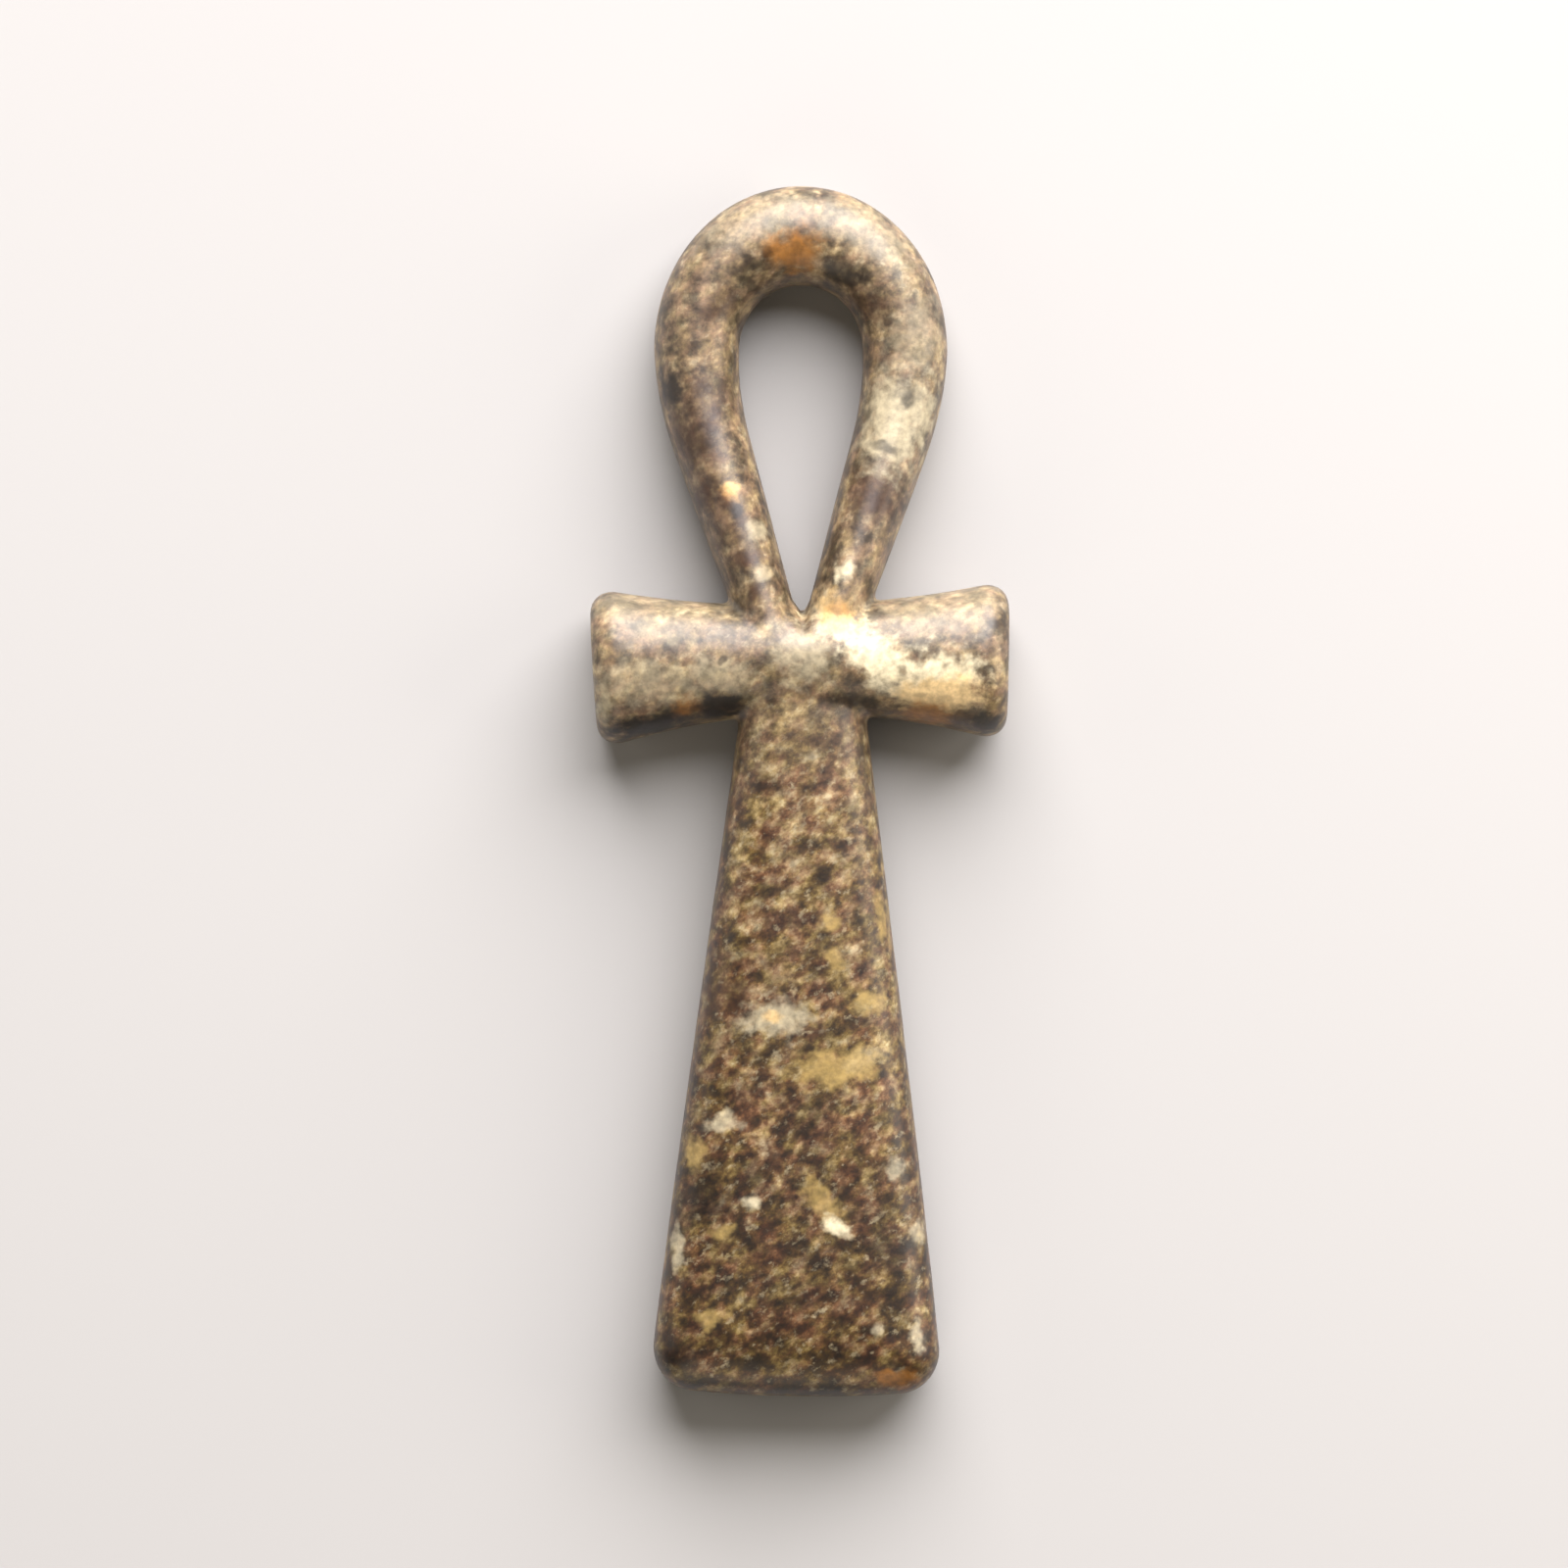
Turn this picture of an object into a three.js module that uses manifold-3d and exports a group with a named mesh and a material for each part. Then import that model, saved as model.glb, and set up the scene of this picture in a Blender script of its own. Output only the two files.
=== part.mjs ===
// An ankh amulet carved from one piece of mottled hard stone.
// Millimetres. It lies on its flat back: +Y runs from the foot to the loop, +Z up from the back.
import * as THREE from 'three';
import { mergeVertices } from 'three/addons/utils/BufferGeometryUtils.js';
import Module from 'manifold-3d';

// Shaft, from its foot up to the middle of the crossbar
const SHAFT_LENGTH = 36.43;
const WAIST_WIDTH = 6.26; // where the shaft leaves the crossbar
const FOOT_WIDTH = 14.7;
const SIDE_SWELL = 0.08; // how far each side bows out of a straight taper
const WAIST_THICKNESS = 6.3;
const FOOT_THICKNESS = 6.2;
const WAIST_SHIFT = 0.12; // the carver's hand: sideways, off the middle of the crossbar
const FOOT_SHIFT = -0.25;
const FOOT_CORNER = 2.2;
const FOOT_BOW = 0.45; // how far the foot's edge bows out in its middle
const FOOT_BOW_SHIFT = 0.8;

// Crossbar, whose arms flare toward their ends
const CROSSBAR_SPAN = 20.64;
const CROSSBAR_HEIGHT = 5.42; // in the middle
const ARM_END_HEIGHT = 8.12; // at the ends, before their corners are rounded
const CROSSBAR_THICKNESS = 6.8;
const CROSSBAR_DROOP = 0.31; // how far the ends hang below the middle
const CROSSBAR_TILT = 1.06; // degrees, its +X arm raised
const ARM_END_LEAN = 2.2; // degrees, the end faces draw in toward the foot
const ARM_CORNER = 1.35;

// Loop, a bar bent into a teardrop that stands on the crossbar
const LOOP_HEIGHT = 23.5; // from the middle of the crossbar
const LOOP_WIDTH = 14.54;
const LOOP_ARCH = 8.14; // from the top down to the loop's widest place
const KNEE_DROP = 5.0; // from there down to the knees, where the legs turn straight
const KNEE_INSET = 0.86; // how far the knees are drawn in from the widest place
const LEG_SPREAD = 2.07; // between the legs' middle lines at the crossbar
const LEG_SHIFT = 0.03; // sideways at the crossbar
const BAR_TOP_WIDTH = 4.9;
const BAR_SIDE_WIDTH = 4.2;
const BAR_FOOT_WIDTH = 2.62;
const LEG_TAPER = 1.15; // 1 thins the legs evenly, and higher thins them more at the foot
const LOOP_TOP_THICKNESS = 5.0;
const LEG_FOOT_THICKNESS = 6.4;
const GULLY = 0.12; // softens the groove between the legs

// Hollow corners where the members meet, and the flat ground on the back
const LOOP_FILLET = 0.4;
const SHAFT_FILLET = 0.4;
const BACK_GRIND = 0.7; // how much of each member's round back is ground away

// How square each member's section is: 2 is an ellipse, and higher is flatter with tighter edges
const WAIST_SQUARENESS = 2.8;
const FOOT_SQUARENESS = 4.2;
const CROSSBAR_SQUARENESS = 2.3;
const LOOP_SQUARENESS = 2.2;

// How finely the surface is drawn
const WIDTH_CELLS = 38;
const DEPTH_CELLS = 10;
const FOOT_CELLS = 5;
const SHAFT_CELLS = 16;
const CROSSBAR_CELLS = 20;
const LOOP_CELLS = 32;
const LOOP_STEPS = 72;

const footY = -(SHAFT_LENGTH + LOOP_HEIGHT) / 2;
const crossbarY = footY + SHAFT_LENGTH;
const topY = crossbarY + LOOP_HEIGHT;
const waistY = crossbarY - CROSSBAR_HEIGHT / 2;
const armReach = CROSSBAR_SPAN / 2;
const widest = Math.max(CROSSBAR_SPAN, FOOT_WIDTH, LOOP_WIDTH);
const thickest = Math.max(
  CROSSBAR_THICKNESS, WAIST_THICKNESS, FOOT_THICKNESS, LOOP_TOP_THICKNESS, LEG_FOOT_THICKNESS);

const mix = THREE.MathUtils.lerp;
const { smoothstep, clamp, degToRad } = THREE.MathUtils;
const point = (x, y) => new THREE.Vector2(x, y);

// The loop's middle line on the +X side: over the arch, round the bend and down the straight leg
function loopLine() {
  const archY = topY - LOOP_ARCH;
  const side = point((LOOP_WIDTH - BAR_SIDE_WIDTH) / 2, archY);
  const knee = point(side.x - KNEE_INSET, archY - KNEE_DROP);
  const foot = point(LEG_SPREAD / 2, crossbarY);
  const legRise = knee.clone().sub(foot);
  const pull = KNEE_DROP / 3;
  const belowSide = point(side.x, side.y - pull);
  const aboveKnee = knee.clone().addScaledVector(legRise, pull / legRise.y);
  const line = new THREE.CurvePath();
  line.add(new THREE.EllipseCurve(
    0, archY, side.x, LOOP_ARCH - BAR_TOP_WIDTH / 2, Math.PI / 2, 0, true));
  line.add(new THREE.CubicBezierCurve(side, belowSide, aboveKnee, knee));
  line.add(new THREE.LineCurve(knee, foot));
  return line;
}

const line = loopLine();
const linePoints = line.getSpacedPoints(LOOP_STEPS);
const archShare = line.getCurveLengths()[0] / line.getLength();

// The nearest place on the loop's middle line: how far it is, and its share of the line's length
function nearestOnLine(x, y) {
  let best = { distance: Infinity, share: 0 };
  for (let i = 0; i + 1 < linePoints.length; i++) {
    const [a, b] = [linePoints[i], linePoints[i + 1]];
    const [dx, dy] = [b.x - a.x, b.y - a.y];
    const s = clamp(((x - a.x) * dx + (y - a.y) * dy) / (dx * dx + dy * dy), 0, 1);
    const distance = Math.hypot(x - a.x - s * dx, y - a.y - s * dy);
    if (distance < best.distance) best = { distance, share: (i + s) / LOOP_STEPS };
  }
  return best;
}

// About how far a point lies outside a rounded section. Inside it is negative.
function section(across, halfWidth, up, halfDepth, squareness) {
  const p = Math.abs(across) / halfWidth;
  const q = Math.abs(up) / halfDepth;
  const size = Math.max((p ** squareness + q ** squareness) ** (1 / squareness), 1e-6);
  const slope = Math.hypot(
    (p / size) ** (squareness - 1) / halfWidth, (q / size) ** (squareness - 1) / halfDepth);
  return (size - 1) / slope;
}

// The same for a member whose round back still reaches below the ground back, at z = 0
function member(across, width, z, thickness, squareness) {
  const halfDepth = (thickness + BACK_GRIND) / 2;
  return section(across, width / 2, z + halfDepth - thickness, halfDepth, squareness);
}

// Two such distances joined, with a hollow fillet between them
function join(a, b, fillet) {
  return Math.max(fillet, Math.min(a, b)) - Math.hypot(Math.max(fillet - a, 0), Math.max(fillet - b, 0));
}

// What lies inside both, with the edge between them rounded over
function trim(a, b, radius) {
  return Math.min(-radius, Math.max(a, b)) + Math.hypot(Math.max(radius + a, 0), Math.max(radius + b, 0));
}

function loop(x, y, z) {
  const shift = LEG_SHIFT * ((topY - y) / LOOP_HEIGHT);
  const { distance, share } = nearestOnLine(Math.hypot(x - shift, GULLY), y);
  const legShare = Math.max(share - archShare, 0) / (1 - archShare);
  const archWidth = mix(BAR_TOP_WIDTH, BAR_SIDE_WIDTH, smoothstep(share, 0, archShare));
  const width = mix(archWidth, BAR_FOOT_WIDTH, legShare ** LEG_TAPER);
  const thickness = mix(LOOP_TOP_THICKNESS, LEG_FOOT_THICKNESS, smoothstep(legShare, 0, 1));
  return member(distance, width, z, thickness, LOOP_SQUARENESS);
}

function crossbar(x, y, z) {
  const place = point(x, y - crossbarY).rotateAround(point(0, 0), -degToRad(CROSSBAR_TILT));
  const out = (place.x / armReach) ** 2;
  const up = place.y + CROSSBAR_DROOP * out;
  const height = mix(CROSSBAR_HEIGHT, ARM_END_HEIGHT, out);
  const arm = member(up, height, z, CROSSBAR_THICKNESS, CROSSBAR_SQUARENESS);
  const lean = (up - height / 4) * Math.tan(degToRad(ARM_END_LEAN));
  return trim(arm, Math.abs(place.x) - armReach - lean, ARM_CORNER);
}

function shaft(x, y, z) {
  const down = (waistY - y) / (waistY - footY);
  const middle = mix(WAIST_SHIFT, FOOT_SHIFT, down);
  const swell = (27 / 4) * down ** 2 * (1 - down); // 1 at two thirds of the way down
  const width = mix(WAIST_WIDTH, FOOT_WIDTH, down) + 2 * SIDE_SWELL * swell;
  const bow = FOOT_BOW * ((x - FOOT_BOW_SHIFT) / (FOOT_WIDTH / 2)) ** 2;
  const outside = trim(Math.abs(x - middle) - width / 2, footY + bow - y, FOOT_CORNER);
  const thickness = mix(WAIST_THICKNESS, FOOT_THICKNESS, down);
  const squareness = mix(WAIST_SQUARENESS, FOOT_SQUARENESS, Math.max(down, 0));
  const body = member(Math.max(outside + width / 2, 0), width, z, thickness, squareness);
  return Math.max(body, y - crossbarY);
}

// The stone before its back is ground flat: negative inside it, positive outside
function carvedStone(x, y, z) {
  const upper = join(loop(x, y, z), crossbar(x, y, z), LOOP_FILLET);
  return join(upper, shaft(x, y, z), SHAFT_FILLET);
}

// Moves a point near a field's surface onto it, by a few steps down its slope
function settle(field, p) {
  const reach = BAR_FOOT_WIDTH / 100;
  const rise = (dx, dy, dz) =>
    (field(p.x + dx, p.y + dy, p.z + dz) - field(p.x - dx, p.y - dy, p.z - dz)) / (2 * reach);
  for (let round = 0; round < 4; round++) {
    const slope = new THREE.Vector3(rise(reach, 0, 0), rise(0, reach, 0), rise(0, 0, reach));
    p.addScaledVector(slope, -field(p.x, p.y, p.z) / slope.lengthSq());
  }
  return p;
}

// A grid cell's corners are numbered by one bit for each axis, and an edge joins two of them
const cellCorners = [...Array(8).keys()];
const cellEdges = cellCorners.flatMap((from) =>
  [1, 2, 4].filter((bit) => (from & bit) === 0).map((bit) => [from, from | bit]));

// The point on the surface that stands for one cell, or none where the surface misses the cell
function cellPoint(field, corners) {
  const crossed = cellEdges.filter(([from, to]) => (corners[from].w < 0) !== (corners[to].w < 0));
  if (crossed.length === 0) return null;
  const sum = new THREE.Vector4();
  for (const [from, to] of crossed) {
    const [a, b] = [corners[from], corners[to]];
    sum.add(a.clone().lerp(b, a.w / (a.w - b.w)));
  }
  sum.divideScalar(crossed.length);
  return settle(field, new THREE.Vector3(sum.x, sum.y, sum.z));
}

// Draws a field's surface on grid lines: one point in each cell that it crosses, and one
// four-sided face around each grid edge that it crosses, between the four cells on that edge
function drawSurface(field, xs, ys, zs) {
  const grid = xs.flatMap((x) => ys.flatMap((y) =>
    zs.map((z) => new THREE.Vector4(x, y, z, field(x, y, z)))));
  const steps = [ys.length * zs.length, zs.length, 1];
  const last = grid.length - steps[0] - steps[1] - steps[2];
  const cornerSteps = cellCorners.map((corner) =>
    steps.reduce((sum, step, axis) => sum + ((corner >> axis) & 1) * step, 0));
  const points = [];
  const pointInCell = new Map();
  for (let n = 0; n < last; n++) {
    const p = cellPoint(field, cornerSteps.map((step) => grid[n + step]));
    if (p) pointInCell.set(n, points.push(p) - 1);
  }

  const faces = [];
  const addFace = (cells) => {
    const [a, b, c, d] = cells.map((cell) => pointInCell.get(cell));
    const shortAC = points[a].distanceTo(points[c]) < points[b].distanceTo(points[d]);
    faces.push(...(shortAC ? [a, b, c, a, c, d] : [a, b, d, b, c, d]));
  };
  for (let n = 0; n < last; n++) {
    steps.forEach((along, axis) => {
      const [start, end] = [grid[n].w < 0, grid[n + along].w < 0];
      const [side, over] = [steps[(axis + 1) % 3], steps[(axis + 2) % 3]];
      const cells = [n - side - over, n - over, n, n - side];
      if (start !== end) addFace(start ? cells : cells.reverse());
    });
  }
  return { points, faces };
}

// Grid lines at even steps through a row of stretches, each given as [its end, its cells]
function gridLines(start, ...stretches) {
  const lines = [start];
  for (const [end, cells] of stretches) {
    const from = lines[lines.length - 1];
    for (let i = 1; i <= cells; i++) lines.push(mix(from, end, i / cells));
  }
  return lines;
}

const wasm = await Module();
wasm.setup();

const toSolid = (vertices, faces) => new wasm.Manifold(new wasm.Mesh({
  numProp: 3, vertProperties: new Float32Array(vertices), triVerts: new Uint32Array(faces),
}));

// The stone's rough form, drawn more finely where it is small and bent than along the shaft
function carvedSolid() {
  const cell = widest / (WIDTH_CELLS - 2);
  const edge = widest / 2 + cell;
  const xs = gridLines(-edge, [edge, WIDTH_CELLS]);
  const ys = gridLines(footY - cell, [footY + 2 * FOOT_CORNER, FOOT_CELLS],
    [crossbarY - ARM_END_HEIGHT / 2 - cell, SHAFT_CELLS],
    [crossbarY + ARM_END_HEIGHT / 2 + cell, CROSSBAR_CELLS], [topY + cell, LOOP_CELLS]);
  const zs = gridLines(-BACK_GRIND - cell, [thickest + cell, DEPTH_CELLS]);
  const { points, faces } = drawSurface(carvedStone, xs, ys, zs);
  return toSolid(points.flatMap((p) => p.toArray()), faces);
}

// A block that takes away everything below the back
function grindingBlock() {
  const deep = 2 * thickest;
  const box = new THREE.BoxGeometry(2 * widest, 2 * (topY - footY), deep);
  box.translate(0, 0, -deep / 2);
  box.deleteAttribute('normal').deleteAttribute('uv');
  const block = mergeVertices(box);
  return toSolid(block.attributes.position.array, block.index.array);
}

function ankhGeometry() {
  const { vertProperties, triVerts } = carvedSolid().subtract(grindingBlock()).getMesh();
  const geometry = new THREE.BufferGeometry();
  geometry.setAttribute('position', new THREE.BufferAttribute(vertProperties, 3));
  geometry.setIndex(new THREE.BufferAttribute(triVerts, 1));
  geometry.computeBoundingBox();
  const middle = geometry.boundingBox.getCenter(new THREE.Vector3());
  geometry.translate(-middle.x, -middle.y, 0); // puts the origin under the middle of the outline
  geometry.computeVertexNormals();
  return geometry;
}

const polishedStone = new THREE.MeshStandardMaterial({ color: 0x8a7458, roughness: 0.35, metalness: 0 });
const ankh = new THREE.Mesh(ankhGeometry(), polishedStone);
ankh.name = 'ankh';

const amulet = new THREE.Group();
amulet.add(ankh);

export default amulet;
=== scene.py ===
from math import pi, radians, tan

import bpy
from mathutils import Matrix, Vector


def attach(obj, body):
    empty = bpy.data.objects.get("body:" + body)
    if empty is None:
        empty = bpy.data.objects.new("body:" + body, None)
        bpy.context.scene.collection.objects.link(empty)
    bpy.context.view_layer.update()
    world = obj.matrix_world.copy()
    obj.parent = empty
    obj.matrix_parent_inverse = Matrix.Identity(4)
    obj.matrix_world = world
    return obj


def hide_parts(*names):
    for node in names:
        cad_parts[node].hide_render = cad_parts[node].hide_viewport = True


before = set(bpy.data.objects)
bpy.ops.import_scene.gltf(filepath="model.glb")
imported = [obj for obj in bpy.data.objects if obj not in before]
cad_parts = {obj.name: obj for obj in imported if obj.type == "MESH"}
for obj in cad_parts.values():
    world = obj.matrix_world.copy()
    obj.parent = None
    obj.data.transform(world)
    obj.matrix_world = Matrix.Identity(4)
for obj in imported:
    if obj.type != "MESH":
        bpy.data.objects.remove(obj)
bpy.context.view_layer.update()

# The amulet is an ankh carved from one pebble of mottled hard stone: a teardrop loop standing on
# a crossbar with flared arms, over a shaft that widens to a rounded foot. It was pecked and ground
# to shape, its back was rubbed flat, and all the rest was worn smooth with fine abrasive.

# Millimetres, with heights from the middle of the crossbar and depths from the flat back
shaft_length = 36.43
crossbar_height = 5.42
crossbar_span = 20.64
crossbar_thickness = 6.8
arm_end_height = 8.12
loop_height = 23.5
loop_width = 14.54
loop_arch = 8.14          # from the top down to the loop's widest place
knee_drop = 5.0           # from there down to the knees, where the legs turn straight
knee_inset = 0.86
leg_spread = 2.07         # between the legs' middle lines at the crossbar
bar_top_width = 4.9
bar_side_width = 4.2

widest_place = Vector(((loop_width - bar_side_width) / 2, loop_height - loop_arch, 0))
knee = widest_place - Vector((knee_inset, knee_drop, 0))
leg_foot = Vector((leg_spread / 2, 0, 0))
bend_pull = knee_drop / 3

amulet_sizes = {
    "Shaft length": shaft_length,
    "Waist width": 6.26,
    "Foot width": 14.7,
    "Side swell": 0.08,
    "Waist thickness": 6.3,
    "Foot thickness": 6.2,
    "Waist shift": 0.12,
    "Foot shift": -0.25,
    "Foot corner": 2.2,
    "Foot bow": 0.45,
    "Foot bow shift": 0.8,
    "Waist squareness": 2.8,
    "Foot squareness": 4.2,
    "Arm reach": crossbar_span / 2,
    "Crossbar height": crossbar_height,
    "Arm end height": arm_end_height,
    "Crossbar thickness": crossbar_thickness,
    "Crossbar droop": 0.31,
    "Crossbar tilt": radians(-1.06),
    "Arm end lean": tan(radians(2.2)),
    "Arm corner": 1.35,
    "Crossbar squareness": 2.3,
    "Loop height": loop_height,
    "Arch rise": loop_arch - bar_top_width / 2,
    "Widest place": widest_place,
    "Below widest place": widest_place - Vector((0, bend_pull, 0)),
    "Above knee": knee + (knee - leg_foot) * (bend_pull / knee.y),
    "Knee": knee,
    "Leg foot": leg_foot,
    "Leg shift": 0.03,
    "Leg taper": 1.15,
    "Bar top width": bar_top_width,
    "Bar side width": bar_side_width,
    "Bar foot width": 2.62,
    "Loop top thickness": 5.0,
    "Leg foot thickness": 6.4,
    "Loop squareness": 2.2,
    "Gully": 0.12,
    "Groove shift": 0.12,
    "Groove half width": 0.3,
    "Groove depth": 0.4,
    "Fillet": 0.4,
    "Back grind": 0.7,
    "Back edge": 0.18,
    "Unevenness": 0.06,
    "Unevenness size": 3.5,
}
cell = 0.215              # how finely the carved surface is drawn
margin = 3 * cell

MATH, VECTOR, RANGE = "ShaderNodeMath", "ShaderNodeVectorMath", "ShaderNodeMapRange"
COMBINE, SEPARATE, MIX = "ShaderNodeCombineXYZ", "ShaderNodeSeparateXYZ", "ShaderNodeMix"
GROUP = "GeometryNodeGroup"


# Adds a node with its settings and gives back one of its outputs. Feeds go to its inputs in
# order or by name: a socket is linked, and anything else is set.
def add(tree, kind, feeds=(), out=0, **settings):
    node = tree.nodes.new(kind)
    for name, value in settings.items():
        setattr(node, name, value)
    inputs = [socket for socket in node.inputs if socket.enabled]
    for key, feed in feeds.items() if isinstance(feeds, dict) else enumerate(feeds):
        socket = node.inputs[key] if isinstance(key, str) else inputs[key]
        if isinstance(feed, bpy.types.NodeSocket):
            tree.links.new(feed, socket)
        elif feed is not None:
            socket.default_value = feed
    outputs = [socket for socket in node.outputs if socket.enabled]
    if not outputs:
        return None
    return node.outputs[out] if isinstance(out, str) else outputs[out]


# Starts a tree with its named inputs and its output, and gives back the tree and its inputs
def start_tree(name, inputs, output, kind, tree_kind="GeometryNodeTree"):
    tree = bpy.data.node_groups.new(name, tree_kind)
    for title, value in inputs.items():
        shape = "NodeSocketVector" if isinstance(value, Vector) else "NodeSocketFloat"
        tree.interface.new_socket(title, in_out="INPUT", socket_type=shape)
    tree.interface.new_socket(output, in_out="OUTPUT", socket_type=kind)
    return tree, tree.nodes.new("NodeGroupInput").outputs


# What lies inside both A and B, with the edge between them rounded over. Inside is negative.
edge, given = start_tree("Rounded edge", {"A": 0, "B": 0, "Radius": 0}, "Distance", "NodeSocketFloat")
nearer = add(edge, MATH, [
    add(edge, MATH, [given["A"], given["B"]], operation="MAXIMUM"),
    add(edge, MATH, [given["Radius"], -1], operation="MULTIPLY")], operation="MINIMUM")
past = add(edge, VECTOR, [
    add(edge, COMBINE, [given["A"], given["B"], -1]),
    add(edge, COMBINE, [given["Radius"], given["Radius"]])], operation="ADD")
past = add(edge, VECTOR, [past, (0, 0, 0)], operation="MAXIMUM")
past = add(edge, VECTOR, [past], "Value", operation="LENGTH")
add(edge, "NodeGroupOutput", [add(edge, MATH, [nearer, past], operation="ADD")])

# How far a point lies outside a member's rounded section, along the line from its middle. The
# section is an ellipse at squareness 2, and flatter with tighter edges above that.
section, given = start_tree(
    "Member section", {"Across": 0, "Depth": 0, "Width": 0, "Thickness": 0, "Squareness": 0,
                       "Back grind": 0}, "Distance", "NodeSocketFloat")
half_depth = add(section, MATH, [given["Thickness"], given["Back grind"]], operation="ADD")
half_depth = add(section, MATH, [half_depth, 0.5], operation="MULTIPLY")
up = add(section, MATH, [given["Depth"], half_depth], operation="ADD")
up = add(section, MATH, [up, given["Thickness"]], operation="SUBTRACT")
spot = add(section, COMBINE, [given["Across"], up])
half_width = add(section, MATH, [given["Width"], 0.5], operation="MULTIPLY")
shares = add(section, VECTOR, [spot, add(section, COMBINE, [half_width, half_depth, 1])],
             operation="DIVIDE")
shares = add(section, VECTOR, [shares], operation="ABSOLUTE")
shares = add(section, VECTOR, [shares, add(section, COMBINE, [given["Squareness"]] * 3)],
             operation="POWER")
total = add(section, VECTOR, [shares, (1, 1, 0)], "Value", operation="DOT_PRODUCT")
total = add(section, MATH, [total, 1e-6], operation="MAXIMUM")
root = add(section, MATH, [1, given["Squareness"]], operation="DIVIDE")
growth = add(section, MATH, [total, root], operation="POWER")
inverse = add(section, MATH, [1, growth], operation="DIVIDE")
outside = add(section, MATH, [1, inverse], operation="SUBTRACT")
from_middle = add(section, VECTOR, [spot], "Value", operation="LENGTH")
from_middle = add(section, MATH, [from_middle, 0.01], operation="ADD")
add(section, "NodeGroupOutput", [add(section, MATH, [outside, from_middle], operation="MULTIPLY")])

carving, size = start_tree("Carved amulet", amulet_sizes, "Geometry", "NodeSocketGeometry")
place = add(carving, "GeometryNodeInputPosition")
x, y, z = (add(carving, SEPARATE, [place], axis) for axis in "XYZ")
section_feeds = {"Depth": z, "Back grind": size["Back grind"]}

# The loop follows a line over its arch, round the bend and down the leg. The other half mirrors it.
arch_y = add(carving, SEPARATE, [size["Widest place"]], "Y")
arch_x = add(carving, SEPARATE, [size["Widest place"]], "X")
arch = add(carving, "GeometryNodeCurveArc", {"Resolution": 96, "Radius": 1, "Start Angle": 0,
                                             "Sweep Angle": pi / 2}, mode="RADIUS")
arch = add(carving, "GeometryNodeTransform", {
    "Geometry": arch, "Translation": add(carving, COMBINE, [0, arch_y, 0]),
    "Scale": add(carving, COMBINE, [arch_x, size["Arch rise"], 1])})
bend = add(carving, "GeometryNodeCurvePrimitiveBezierSegment", [
    48, size["Widest place"], size["Below widest place"], size["Above knee"], size["Knee"]],
    mode="POSITION")
leg = add(carving, "GeometryNodeCurvePrimitiveLine", [size["Knee"], size["Leg foot"]], mode="POINTS")
middle_line = add(carving, "GeometryNodeJoinGeometry", [arch])
for part in (bend, leg):
    carving.links.new(part, middle_line.node.inputs[0])
middle_line = add(carving, "GeometryNodeCurveToMesh", [middle_line])

shift = add(carving, RANGE, [y, size["Loop height"], 0, 0, size["Leg shift"]], clamp=False)
side = add(carving, MATH, [x, shift], operation="SUBTRACT")
side = add(carving, VECTOR, [add(carving, COMBINE, [side, size["Gully"]])], "Value",
           operation="LENGTH")
distance = add(carving, "GeometryNodeProximity",
               {0: middle_line, "Sample Position": add(carving, COMBINE, [side, y])}, "Distance",
               target_element="EDGES")
nearest_y = add(carving, SEPARATE, [distance.node.outputs["Position"]], "Y")
rise = add(carving, MATH, [nearest_y, arch_y], operation="SUBTRACT")
rise = add(carving, MATH, [rise, size["Arch rise"]], operation="DIVIDE", use_clamp=True)
turned = add(carving, MATH, [rise], operation="ARCCOSINE")
width = add(carving, RANGE, [turned, 0, pi / 2, size["Bar top width"], size["Bar side width"]],
            interpolation_type="SMOOTHSTEP")
down_leg = add(carving, RANGE, [nearest_y, arch_y, 0, 0, 1])
width = add(carving, MIX, [add(carving, MATH, [down_leg, size["Leg taper"]], operation="POWER"),
                           width, size["Bar foot width"]])
thickness = add(carving, RANGE, [down_leg, 0, 1, size["Loop top thickness"],
                                 size["Leg foot thickness"]], interpolation_type="SMOOTHSTEP")
loop = add(carving, GROUP, section_feeds | {
    "Across": distance, "Width": width, "Thickness": thickness,
    "Squareness": size["Loop squareness"]}, node_tree=section)

# The crossbar, a little tilted and drooping, flares toward its rounded ends
turned = add(carving, "ShaderNodeVectorRotate", {"Vector": place, "Angle": size["Crossbar tilt"]},
             rotation_type="Z_AXIS")
along, across = (add(carving, SEPARATE, [turned], axis) for axis in "XY")
flare = add(carving, MATH, [add(carving, MATH, [along, size["Arm reach"]], operation="DIVIDE"), 2],
            operation="POWER")
across = add(carving, MATH, [size["Crossbar droop"], flare, across], operation="MULTIPLY_ADD")
height = add(carving, MIX, [flare, size["Crossbar height"], size["Arm end height"]],
             clamp_factor=False)
arm = add(carving, GROUP, section_feeds | {
    "Across": across, "Width": height, "Thickness": size["Crossbar thickness"],
    "Squareness": size["Crossbar squareness"]}, node_tree=section)
lean = add(carving, MATH, [height, -1 / 4, across], operation="MULTIPLY_ADD")
lean = add(carving, MATH, [lean, size["Arm end lean"], size["Arm reach"]], operation="MULTIPLY_ADD")
arm_end = add(carving, MATH, [add(carving, MATH, [along], operation="ABSOLUTE"), lean],
              operation="SUBTRACT")
crossbar = add(carving, GROUP, [arm, arm_end, size["Arm corner"]], node_tree=edge)

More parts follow.
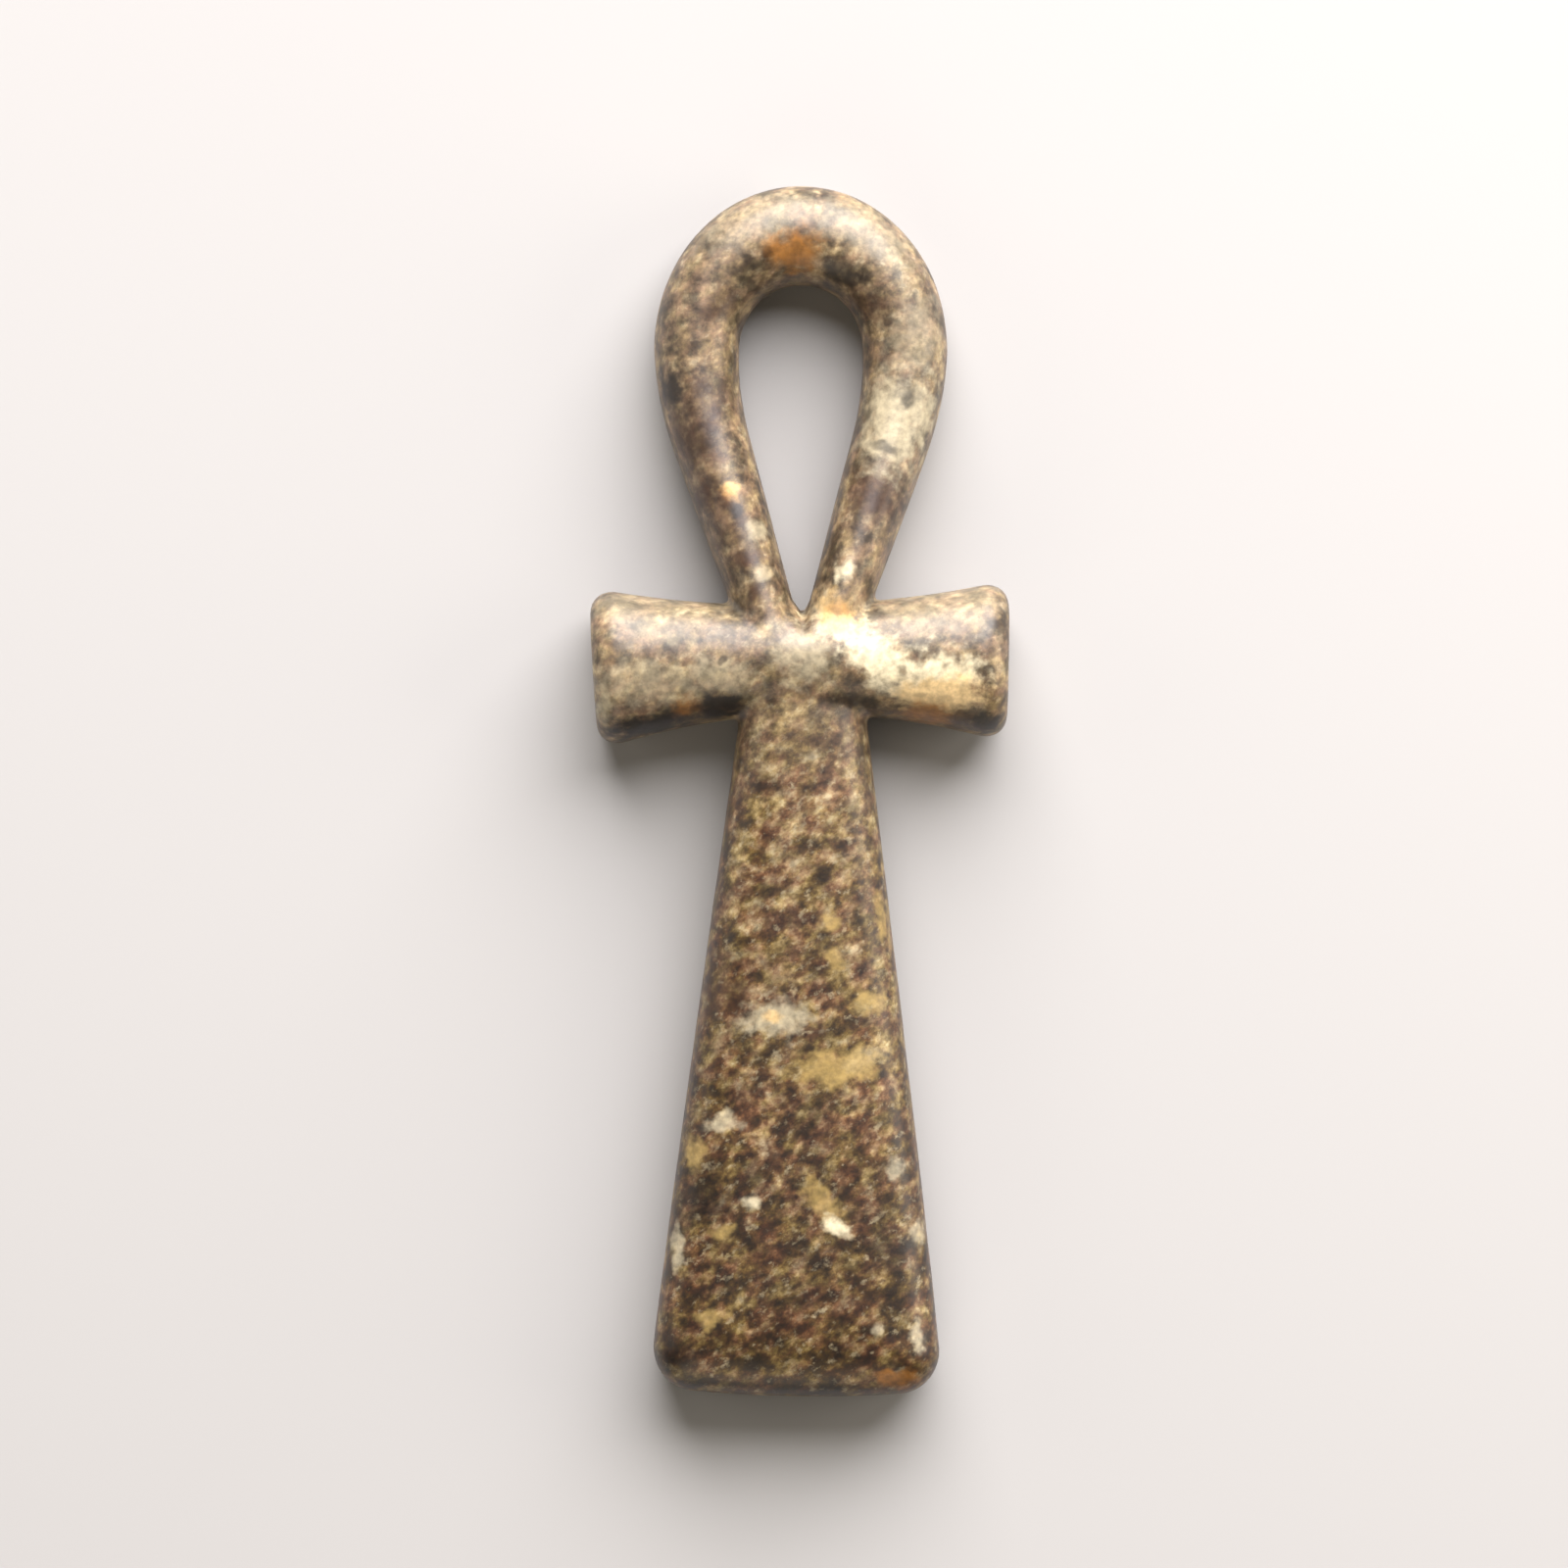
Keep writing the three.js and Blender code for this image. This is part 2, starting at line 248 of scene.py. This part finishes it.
# A groove runs down between the legs' feet onto the crossbar's upper flank
groove = add(carving, MATH, [x, size["Groove shift"]], operation="SUBTRACT")
groove = add(carving, MATH, [groove, size["Groove half width"]], operation="DIVIDE")
groove = add(carving, MATH, [add(carving, MATH, [groove, groove], operation="MULTIPLY"), -1],
             operation="MULTIPLY")
groove = add(carving, MATH, [groove], operation="EXPONENT")
fading = add(carving, RANGE, [y, 0.6, 1.9, 0, size["Groove depth"]],
             interpolation_type="SMOOTHSTEP")
crossbar = add(carving, MATH, [groove, fading, crossbar], operation="MULTIPLY_ADD")

# The shaft widens from the crossbar to its bowed foot with two rounded corners
waist_y = add(carving, MATH, [size["Crossbar height"], -1 / 2], operation="MULTIPLY")
foot_y = add(carving, MATH, [size["Shaft length"], -1], operation="MULTIPLY")
down = add(carving, RANGE, [y, waist_y, foot_y, 0, 1], clamp=False)
middle = add(carving, MIX, [down, size["Waist shift"], size["Foot shift"]], clamp_factor=False)
swell = add(carving, MATH, [down, down], operation="MULTIPLY")
swell = add(carving, MATH, [swell, add(carving, MATH, [1, down], operation="SUBTRACT")],
            operation="MULTIPLY")
swell = add(carving, MATH, [swell, 27 / 4], operation="MULTIPLY")
half_width = add(carving, MIX, [down, size["Waist width"], size["Foot width"]], clamp_factor=False)
half_width = add(carving, MATH, [half_width, 1 / 2], operation="MULTIPLY")
half_width = add(carving, MATH, [swell, size["Side swell"], half_width], operation="MULTIPLY_ADD")
flank = add(carving, MATH, [x, middle], operation="SUBTRACT")
flank = add(carving, MATH, [add(carving, MATH, [flank], operation="ABSOLUTE"), half_width],
            operation="SUBTRACT")
bow = add(carving, MATH, [x, size["Foot bow shift"]], operation="SUBTRACT")
bow = add(carving, MATH, [bow, add(carving, MATH, [size["Foot width"], 1 / 2],
                                   operation="MULTIPLY")], operation="DIVIDE")
bow = add(carving, MATH, [add(carving, MATH, [bow, bow], operation="MULTIPLY"), size["Foot bow"],
                          foot_y], operation="MULTIPLY_ADD")
sole = add(carving, MATH, [bow, y], operation="SUBTRACT")
outline = add(carving, GROUP, [flank, sole, size["Foot corner"]], node_tree=edge)
across = add(carving, MATH, [outline, half_width], operation="ADD")
shaft = add(carving, GROUP, section_feeds | {
    "Across": add(carving, MATH, [across, 0], operation="MAXIMUM"),
    "Width": add(carving, MATH, [half_width, 2], operation="MULTIPLY"),
    "Thickness": add(carving, MIX, [down, size["Waist thickness"], size["Foot thickness"]]),
    "Squareness": add(carving, MIX, [down, size["Waist squareness"], size["Foot squareness"]])},
    node_tree=section)
shaft = add(carving, MATH, [shaft, y], operation="MAXIMUM")

# The members run together in hollow corners, the hand leaves the surface a little uneven, and
# the back is rubbed flat with its edge broken
stone = add(carving, MATH, [loop, -1], operation="MULTIPLY")
for part in (crossbar, shaft):
    hollow = add(carving, MATH, [part, -1], operation="MULTIPLY")
    stone = add(carving, GROUP, [stone, hollow, size["Fillet"]], node_tree=edge)
stone = add(carving, MATH, [stone, -1], operation="MULTIPLY")
hand = add(carving, "ShaderNodeTexNoise", {
    "Vector": place, "Scale": add(carving, MATH, [1, size["Unevenness size"]], operation="DIVIDE"),
    "Detail": 1.0})
hand = add(carving, MATH, [hand, 0.5], operation="SUBTRACT")
stone = add(carving, MATH, [hand, size["Unevenness"], stone], operation="MULTIPLY_ADD")
below = add(carving, MATH, [z, -1], operation="MULTIPLY")
stone = add(carving, GROUP, [stone, below, size["Back edge"]], node_tree=edge)
inward = add(carving, MATH, [stone, -1], operation="MULTIPLY")

# The field's surface is drawn on a fine grid, and its points then settle onto it
lowest = Vector((-crossbar_span / 2, -shaft_length, 0)) - Vector((1, 1, 1)) * margin
highest = Vector((crossbar_span / 2, loop_height, crossbar_thickness)) + Vector((1, 1, 1)) * margin
cells = [round(span / cell) for span in highest - lowest]
body = add(carving, "GeometryNodeVolumeCube", [inward, -1, lowest, highest, *cells])
body = add(carving, "GeometryNodeVolumeToMesh", {"Volume": body, "Threshold": 0})
offset = add(carving, VECTOR, {0: add(carving, "GeometryNodeInputNormal"), "Scale": inward},
             operation="SCALE")
for _ in range(3):
    body = add(carving, "GeometryNodeSetPosition", {"Geometry": body, "Offset": offset})
body = add(carving, "GeometryNodeSetShadeSmooth", [body])

# It is centred over the frame's origin and brought from millimetres to metres
lowest_corner = add(carving, "GeometryNodeBoundBox", [body], "Min")
middle = add(carving, VECTOR, [lowest_corner, lowest_corner.node.outputs["Max"]], operation="ADD")
middle = add(carving, VECTOR, [middle, (-1 / 2, -1 / 2, 0)], operation="MULTIPLY")
body = add(carving, "GeometryNodeTransform", {"Geometry": body, "Translation": middle})
body = add(carving, "GeometryNodeTransform", {"Geometry": body, "Scale": (0.001,) * 3})

# Colours are written as they look on a screen and turned into the linear values that light needs
def linear(colour):
    parts = [int(colour[i:i + 2], 16) / 255 for i in (1, 3, 5)]
    return (*[v / 12.92 if v <= 0.04045 else ((v + 0.055) / 1.055) ** 2.4 for v in parts], 1)


# Polished granodiorite: dark purplish and olive minerals crowd a brown-grey ground, with cream
# feldspar and rust-stained spots. Polish deepens the colours and gives a broad soft sheen.
granodiorite = bpy.data.materials.new("polished mottled granodiorite")
granodiorite.use_nodes = True
rock = granodiorite.node_tree
rock.nodes.clear()
NOISE = "ShaderNodeTexNoise"

# Millimetres across, as such a stone's grains measure
clot = 0.87
tint_patch = 1.11
fleck = 0.526
cloud = 1.11
grain = 0.385
lump_drift = 1.25
lump_edge = 0.667
polish_ripple = 0.417
ripple_height = 0.05

at = add(rock, "ShaderNodeTexCoord", out="Object")
at = add(rock, VECTOR, {0: at, "Scale": 1000}, operation="SCALE")      # from metres to millimetres
height = add(rock, SEPARATE, [at], "Y")

# The ground: clots of mineral drawn out a little up and to the right, some olive and some mauve,
# and more of them dark toward the foot, with dark and pale flecks over them
layered = add(rock, "ShaderNodeMapping", {
    "Vector": at, "Rotation": (0, 0, radians(35)), "Scale": (1.15, 0.85, 1)}, vector_type="TEXTURE")
clots = add(rock, NOISE, {"Vector": layered, "Scale": 1 / clot, "Detail": 5, "Roughness": 0.62},
            "Fac")
foot_dark = add(rock, RANGE, [height, 0, -26, 0, -0.08])
clots = add(rock, MATH, [clots, foot_dark], operation="ADD")
olive = {0.30: "#1c1002", 0.37: "#2e1f06", 0.43: "#443110", 0.48: "#58461f", 0.53: "#6c5931",
         0.59: "#837047", 0.66: "#9a8b65", 0.78: "#ac9f80"}
mauve = {0.30: "#200e04", 0.37: "#361d0c", 0.43: "#4b2f18", 0.48: "#5e4128", 0.53: "#6f553a",
         0.59: "#826b4b", 0.66: "#978463", 0.78: "#a8997a"}
bands = []
for shades in (olive, mauve):
    band = add(rock, "ShaderNodeValToRGB", [clots])
    elements = band.node.color_ramp.elements
    elements.remove(elements[1])
    for i, (position, shade) in enumerate(shades.items()):
        stop = elements.new(position) if i else elements[0]
        stop.position, stop.color = position, linear(shade)
    bands.append(band)
tints = add(rock, NOISE, {
    "Vector": layered, "Scale": 1 / tint_patch, "Detail": 4, "Roughness": 0.6}, "Color")
tints = add(rock, RANGE, [add(rock, SEPARATE, [tints], "X"), 0.42, 0.60, 0, 1])
ground = add(rock, MIX, [tints, *bands], data_type="RGBA")
flecks = add(rock, NOISE, {
    "Vector": layered, "Scale": 1 / fleck, "Detail": 4, "Roughness": 0.65}, "Color")
dark = add(rock, RANGE, [add(rock, SEPARATE, [flecks], "X"), 0.54, 0.68, 0, 0.65])
pale = add(rock, RANGE, [add(rock, SEPARATE, [flecks], "Y"), 0.56, 0.70, 0, 0.55])
ground = add(rock, MIX, [dark, ground, linear("#2b1a08")], data_type="RGBA")
ground = add(rock, MIX, [pale, ground, linear("#9e9172")], data_type="RGBA")

# Toward the loop the minerals run into one another, so the mottling grows softer and greyer, and
# clouds of lighter and darker stone stand out more strongly
clouded = add(rock, RANGE, [height, -1, 7, 0.03, 0.42])
ground = add(rock, MIX, [clouded, ground, linear("#7c6c58")], data_type="RGBA")
clouds = add(rock, NOISE, {"Vector": at, "Scale": 1 / cloud, "Detail": 4, "Roughness": 0.6}, "Fac")
clouds = add(rock, RANGE, [clouds, 0.38, 0.62, -1, 1])
swing = add(rock, RANGE, [height, -1, 7, 0.3, 0.62])
clouds = add(rock, MATH, [clouds, swing, 1], operation="MULTIPLY_ADD")
ground = add(rock, VECTOR, {0: ground, "Scale": clouds}, operation="SCALE")

# Lumps of one mineral show at known places, and some of them are painted shade or painted sheen.
# Each is an egg with a ragged edge, and where two of a kind overlap the stronger one shows. The
# gradient falls from 1 at an egg's middle to 0 at its reach, which is twice its half sizes.
lump, given = start_tree(
    "Lump", {"At": Vector(), "Ragged": 0, "Place": Vector(), "Turn": Vector(), "Reach": Vector(),
             "Cover": 0, "Others": 0}, "Share", "NodeSocketFloat", "ShaderNodeTree")
egg = add(lump, "ShaderNodeMapping", {
    "Vector": given["At"], "Location": given["Place"], "Rotation": given["Turn"],
    "Scale": given["Reach"]}, vector_type="TEXTURE")
egg = add(lump, "ShaderNodeTexGradient", [egg], "Fac", gradient_type="SPHERICAL")
egg = add(lump, MATH, [egg, given["Ragged"]], operation="ADD")
egg = add(lump, RANGE, [egg, 0.275, 0.75, 0, 1], interpolation_type="SMOOTHSTEP")
egg = add(lump, MATH, [egg, given["Cover"]], operation="MULTIPLY")
add(lump, "NodeGroupOutput", [add(lump, MATH, [egg, given["Others"]], operation="MAXIMUM")])

# Their outlines drift from a true egg by up to about half a millimetre, and fray
drift = add(rock, NOISE, {"Vector": at, "Scale": 1 / lump_drift, "Detail": 2}, "Color")
drift = add(rock, VECTOR, [drift, (0.5, 0.5, 0.5)], operation="SUBTRACT")
drift = add(rock, VECTOR, {0: drift, "Scale": 1.1}, operation="SCALE")
drifted = add(rock, VECTOR, [at, drift], operation="ADD")
ragged = add(rock, NOISE, {"Vector": at, "Scale": 1 / lump_edge, "Detail": 3, "Roughness": 0.55},
             "Fac")
ragged = add(rock, RANGE, [ragged, 0.3, 0.7, 0.2, -0.2])

# Each mineral's colour, then its lumps: how strongly each covers the ground, its x and y, its half
# width and half height in millimetres, and its turn in degrees. Each mineral covers those before it.
lumps = {
    "brown hornblende": ("#3a2214", [
        (0.5, -4.6, 15.4, 1.2, 3.8, 20), (0.5, -4.8, 19.0, 1.4, 1.8, 10),
        (0.6, -4.4, 17.9, 0.5, 0.4, 30), (0.65, -5.3, 16.2, 0.4, 0.6, 20),
        (0.6, -4.0, 16.4, 0.4, 0.35, 0), (0.6, -2.9, 13.2, 0.45, 0.5, 20),
        (0.7, -5.7, 17.4, 0.8, 1.5, 15), (0.8, -4.7, 14.2, 0.5, 0.9, 20),
        (0.5, -3.4, 13.0, 1.1, 2.4, 20), (0.8, -2.7, 11.5, 0.8, 0.6, 20),
        (0.75, -2.3, 9.7, 0.6, 0.55, 0), (0.6, -4.0, 23.9, 1.0, 0.6, 40),
        (0.55, 3.3, 24.1, 1.2, 0.7, -45), (0.75, 3.7, 14.8, 1.4, 1.4, -20),
        (0.5, -3.9, -9.9, 1.6, 1.0, -20)]),
    "grey feldspar and painted sheen": ("#a99d80", [
        # The next three lumps, over the top of the arch and on its right shoulder, are painted
        # highlight.
        (0.35, -2.4, 28.2, 3.4, 1.2, 16), (0.35, 3.4, 27.6, 3.0, 1.2, -32),
        (0.35, 5.8, 22.4, 1.2, 2.2, -15), (0.9, 4.9, 18.3, 2.0, 2.4, -15),
        # The next two lumps, over the upper halves of the arms, are painted sheen.
        (0.28, -6.8, 8.9, 3.4, 1.7, -4), (0.28, 6.8, 9.0, 3.2, 1.5, 6),
        (0.7, -9.6, 4.2, 0.4, 0.9, 0), (0.4, -7.3, 5.3, 2.9, 1.1, 0),
        # The second lump below, on the crossbar's crest between the legs' feet, is a painted
        # highlight.
        (0.5, -4.0, 5.6, 1.8, 0.9, 0), (0.65, 0.2, 6.6, 1.5, 1.4, 0),
        (0.65, -2.1, 12.7, 0.45, 0.6, 20), (0.5, -1.8, 10.6, 0.6, 0.35, 0),
        (0.75, -1.2, -11.3, 1.6, 0.85, 0), (0.45, 3.2, -13.1, 1.0, 0.4, 20)]),
    "ochre feldspar": ("#9f864e", [
        (0.7, 1.5, -6.4, 0.5, 0.45, 0), (0.6, 4.1, -6.6, 0.35, 1.3, 8),
        (0.6, 1.8, -8.3, 0.6, 0.5, 0), (0.75, 3.5, -10.3, 0.7, 0.6, -40),
        (0.75, 1.9, -13.5, 2.2, 0.8, 8), (0.6, -5.2, -17.9, 0.5, 0.8, 0),
        (0.6, 1.2, -20.3, 1.4, 0.6, -50), (0.6, -3.7, -21.6, 0.6, 0.35, 20),
        (0.6, -4.4, -26.0, 0.7, 0.4, 0)]),
    "cream feldspar": ("#d8cba8", [
        (0.7, 2.3, 10.9, 0.5, 0.6, 0), (0.5, 1.6, 8.4, 1.3, 0.8, -45),
        (0.92, 3.7, 6.5, 2.3, 1.1, -40), (0.95, 6.6, 5.4, 2.2, 1.4, 0),
        (0.45, -3.7, -16.4, 0.8, 0.45, 0), (0.35, 4.7, -18.7, 0.5, 0.5, 0),
        (0.55, -2.3, -20.2, 0.5, 0.35, 0), (0.85, 1.8, -21.4, 0.8, 0.4, -40),
        (0.35, 5.9, -21.8, 0.3, 0.6, 0), (0.45, -6.0, -22.5, 0.3, 1.1, 0),
        (0.35, 3.9, -26.6, 0.4, 0.35, 0), (0.4, 5.8, -26.8, 0.4, 0.7, 0)]),
    "honey feldspar": ("#d6b070", [
        (0.9, -3.4, 14.75, 0.4, 0.5, 0), (0.75, 1.9, 8.6, 1.3, 0.8, -45),
        (0.7, 6.9, 4.8, 2.1, 0.9, 3), (0.6, -1.4, -11.2, 0.45, 0.35, 0)]),
    "rust": ("#8a5a22", [
        (0.85, -0.3, 26.5, 1.4, 1.0, 0), (0.6, 1.8, 9.0, 0.6, 0.4, 0),
        (0.45, -3.5, 14.5, 0.4, 0.45, 0), (0.9, 6.4, 3.75, 1.5, 0.5, -4),
        (0.7, -5.7, 4.1, 0.6, 0.4, 10),
        (0.85, 4.8, -29.0, 1.0, 0.5, 0)]),
    "black mica and painted shade": ("#130b05", [
        # The next two lumps, under the top of the arch, are painted shade on its inner underside.
        (0.7, -2.3, 25.9, 1.0, 0.7, 30), (0.75, 2.1, 25.7, 1.2, 0.7, -30),
        (0.5, -6.6, 21.8, 0.5, 0.35, 0), (0.85, -6.2, 19.8, 0.6, 0.9, 0),
        (0.75, 5.3, 19.3, 0.45, 0.6, 0), (0.6, 3.3, 18.5, 0.35, 0.4, 0),
        (0.6, 4.2, 16.9, 0.6, 0.3, -20), (0.8, -3.1, 13.8, 0.4, 0.3, 0),
        # The lumps along the crossbar's lower edge, at y 3 to 4.5 from x -7.4 to 9.2, are painted
        # shade under the arms and in the crooks where they meet the shaft.
        (0.7, -3.8, 6.4, 0.25, 0.25, 0), (0.97, -7.4, 3.1, 2.1, 0.6, 5),
        (0.97, -3.9, 4.2, 1.3, 0.55, 12), (0.8, 2.9, 4.4, 1.2, 0.5, -10),
        (0.7, 7.9, 3.5, 0.5, 0.4, 0), (0.9, 9.2, 3.3, 0.9, 0.6, 0),
        (0.4, -2.0, -18.7, 0.9, 0.7, 0), (0.65, -4.8, -20.1, 1.1, 1.2, 0),
        (0.45, 4.4, -22.7, 1.2, 1.0, 0), (0.5, -6.3, -27.8, 1.3, 1.2, 0)])}
lump_middle = 5.5         # how high over the back their middles lie
lump_half_depth = 3
for shade, spots in lumps.values():
    share = 0
    for cover, *spot, half_width, half_height, turn in spots:
        reach = 2 * Vector((half_width, half_height, lump_half_depth))
        share = add(rock, "ShaderNodeGroup", {
            "At": drifted, "Ragged": ragged, "Place": (*spot, lump_middle),
            "Turn": (0, 0, radians(turn)), "Reach": reach, "Cover": cover, "Others": share},
            node_tree=lump)
    ground = add(rock, MIX, [share, ground, linear(shade)], data_type="RGBA")

# Fine grains show in all of it
grains = add(rock, NOISE, {"Vector": at, "Scale": 1 / grain, "Detail": 3, "Roughness": 0.55}, "Fac")
grains = add(rock, RANGE, [grains, 0.32, 0.68, 0.7, 1.25])
ground = add(rock, VECTOR, {0: ground, "Scale": grains}, operation="SCALE")

# The dark minerals take the higher polish and the pale ones stay a little rougher, and the grains
# wear down unevenly, which leaves the polished face faintly rippled
gloss = add(rock, RANGE, [clots, 0.35, 0.65, 0.38, 0.46])
ripples = add(rock, NOISE, {
    "Vector": at, "Scale": 1 / polish_ripple, "Detail": 4, "Roughness": 0.6}, "Fac")
ripples = add(rock, "ShaderNodeBump", {
    "Strength": 0.25, "Distance": ripple_height / 1000, "Height": ripples})
surface = add(rock, "ShaderNodeBsdfPrincipled", {
    "Base Color": ground, "Roughness": gloss, "Normal": ripples, "IOR": 1.55})
add(rock, "ShaderNodeOutputMaterial", [surface])

# The carved stone takes the material, and a blank with the tree on it gives the finished mesh
body = add(carving, "GeometryNodeRealizeInstances", [body])
body = add(carving, "GeometryNodeSetMaterial", {"Geometry": body, "Material": granodiorite})
add(carving, "NodeGroupOutput", [body])

blank = bpy.data.objects.new("blank", bpy.data.meshes.new("blank"))
bpy.context.collection.objects.link(blank)
modifier = blank.modifiers.new("carving", "NODES")
modifier.node_group = carving
for item in carving.interface.items_tree:
    if item.in_out == "INPUT":
        modifier[item.identifier] = amulet_sizes[item.name]
blank.update_tag()
depsgraph = bpy.context.evaluated_depsgraph_get()
mesh = bpy.data.meshes.new_from_object(blank.evaluated_get(depsgraph), depsgraph=depsgraph)
bpy.data.objects.remove(blank)
amulet = bpy.data.objects.new("carved_ankh", mesh)
bpy.context.collection.objects.link(amulet)
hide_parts("ankh")
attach(amulet, "root")

# A plain board lies under the amulet and reaches well past the picture. It is painted in a pale
# matt grey, so the stone's outline and its soft shadow stand out.
board_reach = 0.6
corners = [(-board_reach, -board_reach, 0), (board_reach, -board_reach, 0),
           (board_reach, board_reach, 0), (-board_reach, board_reach, 0)]
board_mesh = bpy.data.meshes.new("board")
board_mesh.from_pydata(corners, [], [(0, 1, 2, 3)])
board = bpy.data.objects.new("board", board_mesh)
bpy.context.collection.objects.link(board)
paint = bpy.data.materials.new("pale matt board")
paint.use_nodes = True
paint.node_tree.nodes["Principled BSDF"].inputs["Base Color"].default_value = linear("#adaba8")
paint.node_tree.nodes["Principled BSDF"].inputs["Roughness"].default_value = 0.9
board_mesh.materials.append(paint)

# A broad soft light stands beyond the loop, like a north window, and gives the arch and the arms
# their sheen. A weak one fills from the foot, a pale card on each side lights the rims, and the
# room adds a little light from everywhere. All stand clear of the board.
lit_place = Vector((0, 0.01, 0))


def soft_light(name, place, across, watts, colour):
    lamp = bpy.data.lights.new(name, "AREA")
    lamp.shape, lamp.size, lamp.energy, lamp.color = "DISK", across, watts, linear(colour)[:3]
    light = bpy.data.objects.new(name, lamp)
    bpy.context.collection.objects.link(light)
    light.location = place
    light.rotation_euler = (lit_place - Vector(place)).to_track_quat("-Z", "Y").to_euler()


soft_light("window", (0.08, 0.355, 0.265), 0.6, 8.8, "#fcf9fc")
soft_light("fill", (-0.1, -0.37, 0.2), 0.36, 0.5, "#fff4e4")
soft_light("left card", (-0.2, 0.04, 0.085), 0.15, 0.07, "#fff8ee")
soft_light("right card", (0.2, 0.02, 0.085), 0.15, 0.2, "#fff8ee")
world = bpy.data.worlds.new("room")
world.use_nodes = True
world.node_tree.nodes["Background"].inputs["Color"].default_value = linear("#f6f0e4")
world.node_tree.nodes["Background"].inputs["Strength"].default_value = 0.1
bpy.context.scene.world = world
bpy.context.scene.view_settings.view_transform = "Standard"

# The camera looks straight down on the amulet's front through a long lens, from far enough to
# show it nearly without perspective. The amulet stands a little off the picture's middle.
picture_width = 0.07756
picture_middle = Vector((-0.00077, 0.000315, 0.0034))
camera_data = bpy.data.cameras.new("camera")
camera_data.lens, camera_data.sensor_width = 180, 36
away = picture_width * camera_data.lens / camera_data.sensor_width
camera = bpy.data.objects.new("camera", camera_data)
bpy.context.collection.objects.link(camera)
camera.location = picture_middle + Vector((0, 0, away))
camera_data.clip_start, camera_data.clip_end = 0.01, 10
bpy.context.scene.camera = camera
